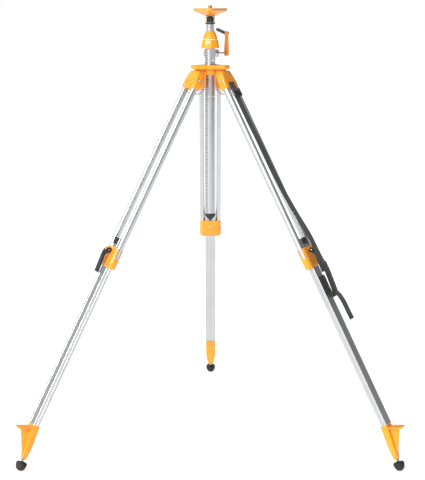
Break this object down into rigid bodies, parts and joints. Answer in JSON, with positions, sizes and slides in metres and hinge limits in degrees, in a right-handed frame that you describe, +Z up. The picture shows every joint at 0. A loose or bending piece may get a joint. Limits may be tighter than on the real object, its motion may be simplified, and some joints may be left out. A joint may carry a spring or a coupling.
{
  "type": "elevating laser level tripod",
  "caption": "Elevating survey tripod: telescoping splayed legs with cam-lever clamps, a cranked rack-and-pinion column, an inner column with a collet nut and a triangular instrument seat.",
  "frame": {"origin": "middle of the footprint's bounding box, on the floor under the feet", "axes": "+Z up along the column and out of the instrument seat; one leg points along +Y, and the other two lie 120 degrees to each side of it"},
  "size_m": [1.5608, 1.3606, 1.832],
  "materials": {
    "yellow_casting": "satin",
    "bare_aluminium": "satin",
    "bright_steel": "brushed",
    "black_plastic": "matte",
    "black_rubber": "matte",
    "black_webbing": "matte",
    "cream_nylon": "satin"
  },
  "bodies": {
    "tripod_head": {"hub": "yellow_casting", "gearbox_housing": "yellow_casting", "bearing_cover": "bright_steel", "spreader_chain_front": "bright_steel", "spreader_chain_right": "bright_steel", "spreader_chain_left": "bright_steel"},
    "leg_rear": {"leg_bracket_rear": "yellow_casting", "pivot_bolt_rear": "bright_steel", "upper_tube_a_rear": "bare_aluminium", "upper_tube_b_rear": "bare_aluminium", "clamp_body_rear": "yellow_casting", "lever_pin_rear": "bright_steel"},
    "lower_rear": {"leg_guide_rear": "black_plastic", "lower_leg_rear": "bare_aluminium", "foot_casting_rear": "yellow_casting", "foot_spike_rear": "bright_steel", "rubber_foot_rear": "black_rubber"},
    "lever_rear": {"clamp_lever_rear": "black_plastic"},
    "leg_left": {"leg_bracket_left": "yellow_casting", "pivot_bolt_left": "bright_steel", "upper_tube_a_left": "bare_aluminium", "upper_tube_b_left": "bare_aluminium", "clamp_body_left": "yellow_casting", "lever_pin_left": "bright_steel"},
    "lower_left": {"leg_guide_left": "black_plastic", "lower_leg_left": "bare_aluminium", "foot_casting_left": "yellow_casting", "foot_spike_left": "bright_steel", "rubber_foot_left": "black_rubber"},
    "lever_left": {"clamp_lever_left": "black_plastic"},
    "leg_right": {"leg_bracket_right": "yellow_casting", "pivot_bolt_right": "bright_steel", "upper_tube_a_right": "bare_aluminium", "upper_tube_b_right": "bare_aluminium", "clamp_body_right": "yellow_casting", "lever_pin_right": "bright_steel", "strap_webbing": "black_webbing"},
    "lower_right": {"leg_guide_right": "black_plastic", "lower_leg_right": "bare_aluminium", "foot_casting_right": "yellow_casting", "foot_spike_right": "bright_steel", "rubber_foot_right": "black_rubber"},
    "lever_right": {"clamp_lever_right": "black_plastic", "strap_pad": "black_webbing", "strap_tail": "black_webbing"},
    "column": {"outer_column": "bare_aluminium", "column_rack": "bright_steel", "column_end_cap": "black_plastic", "column_clamp": "yellow_casting", "collet_washer": "cream_nylon"},
    "collet": {"collet_nut": "yellow_casting"},
    "inner": {"inner_column": "bare_aluminium", "head_collar": "black_plastic", "head_yoke": "cream_nylon", "head_plate": "yellow_casting"},
    "screw": {"thumb_wheel": "black_plastic", "head_stud": "bright_steel"},
    "crank": {"crank_shaft": "bright_steel", "crank_arm": "yellow_casting"},
    "grip": {"crank_grip": "black_plastic"}
  },
  "joints": [
    {"name": "leg_fold_rear", "type": "hinge", "parent": "tripod_head", "child": "leg_rear", "pos_m": [0, -0.1404, 1.53], "axis": [-1, 0, 0], "range_deg": [0, 26], "deforming": ["spreader_chain_right", "spreader_chain_left"]},
    {"name": "leg_slide_rear", "type": "slide", "parent": "leg_rear", "child": "lower_rear", "axis": [0, -0.4802, 0.8771], "range_m": [0, 0.42]},
    {"name": "lever_turn_rear", "type": "hinge", "parent": "leg_rear", "child": "lever_rear", "pos_m": [0, 0.25833, 0.86418], "axis": [1, 0, 0], "range_deg": [0, 95]},
    {"name": "leg_fold_left", "type": "hinge", "parent": "tripod_head", "child": "leg_left", "pos_m": [-0.06712, -0.25665, 1.53], "axis": [0.5, -0.866, 0], "range_deg": [0, 26], "deforming": ["spreader_chain_front", "spreader_chain_left"]},
    {"name": "leg_slide_left", "type": "slide", "parent": "leg_left", "child": "lower_left", "axis": [0.4159, 0.2401, 0.8771], "range_m": [0, 0.42]},
    {"name": "lever_turn_left", "type": "hinge", "parent": "leg_left", "child": "lever_left", "pos_m": [-0.41242, -0.45602, 0.86418], "axis": [-0.5, 0.866, 0], "range_deg": [0, 95]},
    {"name": "leg_fold_right", "type": "hinge", "parent": "tripod_head", "child": "leg_right", "pos_m": [0.06712, -0.25665, 1.53], "axis": [0.5, 0.866, 0], "range_deg": [0, 26], "deforming": ["spreader_chain_front", "spreader_chain_right"]},
    {"name": "leg_slide_right", "type": "slide", "parent": "leg_right", "child": "lower_right", "axis": [-0.4159, 0.2401, 0.8771], "range_m": [0, 0.42]},
    {"name": "lever_turn_right", "type": "hinge", "parent": "leg_right", "child": "lever_right", "pos_m": [0.41242, -0.45602, 0.86418], "axis": [-0.5, -0.866, 0], "range_deg": [0, 95], "deforming": ["strap_webbing"]},
    {"name": "column_lift", "type": "slide", "parent": "tripod_head", "child": "column", "axis": [0, 0, 1], "range_m": [0, 0.45]},
    {"name": "crank_turn", "type": "hinge", "parent": "tripod_head", "child": "crank", "pos_m": [-0.019, -0.18499, 1.6365], "axis": [0.866, 0.5, 0], "continuous": true},
    {"name": "inner_lift", "type": "slide", "parent": "column", "child": "inner", "axis": [0, 0, 1], "range_m": [0, 0.42]},
    {"name": "collet_turn", "type": "hinge", "parent": "column", "child": "collet", "pos_m": [0, -0.2179, 1.713], "axis": [0, 0, 1], "range_deg": [0, 120]},
    {"name": "screw_turn", "type": "hinge", "parent": "inner", "child": "screw", "pos_m": [0, -0.2179, 1.8], "axis": [0, 0, 1], "continuous": true},
    {"name": "grip_fold", "type": "hinge", "parent": "crank", "child": "grip", "pos_m": [0.06804, -0.13474, 1.7165], "axis": [-0.1051, 0.182, -0.9777], "range_deg": [0, 90]}
  ],
  "couplings": [
    {"joint": "crank_turn", "follows": "column_lift", "rad_per_m": -83.333}
  ]
}
